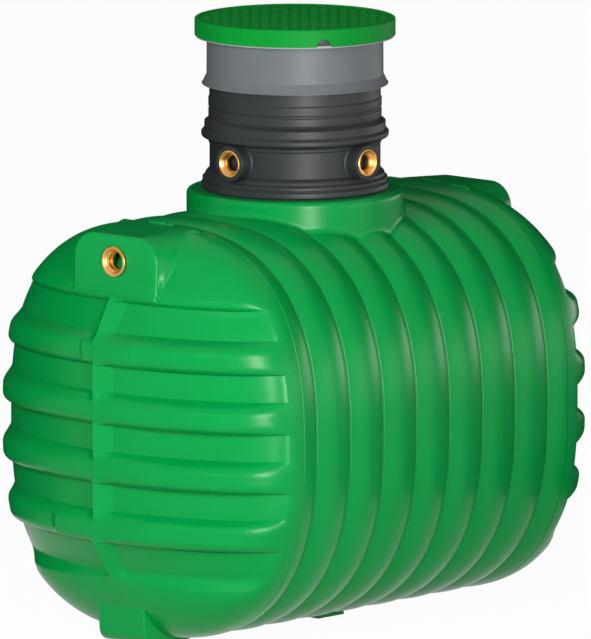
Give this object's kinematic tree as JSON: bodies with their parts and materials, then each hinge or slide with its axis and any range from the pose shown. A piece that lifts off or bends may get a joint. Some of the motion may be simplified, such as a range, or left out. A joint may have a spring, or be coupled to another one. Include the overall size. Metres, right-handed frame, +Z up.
{
  "type": "septic tank",
  "caption": "Buried moulded septic tank: hooped oval barrel with domed ribbed ends, pipe bosses, manhole neck, ringed access shaft with branch sockets, and a round cover.",
  "frame": {"origin": "on the floor under the manhole's axis, at the middle of the tank's length and width", "axes": "+X along the barrel towards the rear end, +Y towards the right side, +Z up"},
  "size_m": [2.196, 1.406, 2.216],
  "materials": {
    "green_polyethylene": "satin rotationally moulded polyethylene",
    "black_polyethylene": "satin",
    "grey_plastic": "satin",
    "cover_green": "satin, with a fine anti-slip tread",
    "brass": "satin"
  },
  "bodies": {
    "root": {"barrel_crown_front": "green_polyethylene", "barrel_crown": "green_polyethylene", "barrel_crown_rear": "green_polyethylene", "barrel_shoulder_left": "green_polyethylene", "barrel_shoulder_right": "green_polyethylene", "barrel_side_left": "green_polyethylene", "barrel_side_right": "green_polyethylene", "barrel_haunch_left": "green_polyethylene", "barrel_haunch_right": "green_polyethylene", "barrel_belly": "green_polyethylene", "front_end": "green_polyethylene", "rear_end": "green_polyethylene", "front_boss": "green_polyethylene", "rear_boss": "green_polyethylene", "front_foot": "green_polyethylene", "rear_foot": "green_polyethylene", "belly_foot": "green_polyethylene", "neck": "green_polyethylene", "shaft_base": "black_polyethylene", "shaft": "black_polyethylene", "front_socket": "black_polyethylene", "side_socket": "black_polyethylene", "collar": "grey_plastic", "cover": "cover_green", "front_boss_bush": "brass", "rear_boss_bush": "brass", "front_socket_bush": "brass", "side_socket_bush": "brass"}
  },
  "joints": []
}
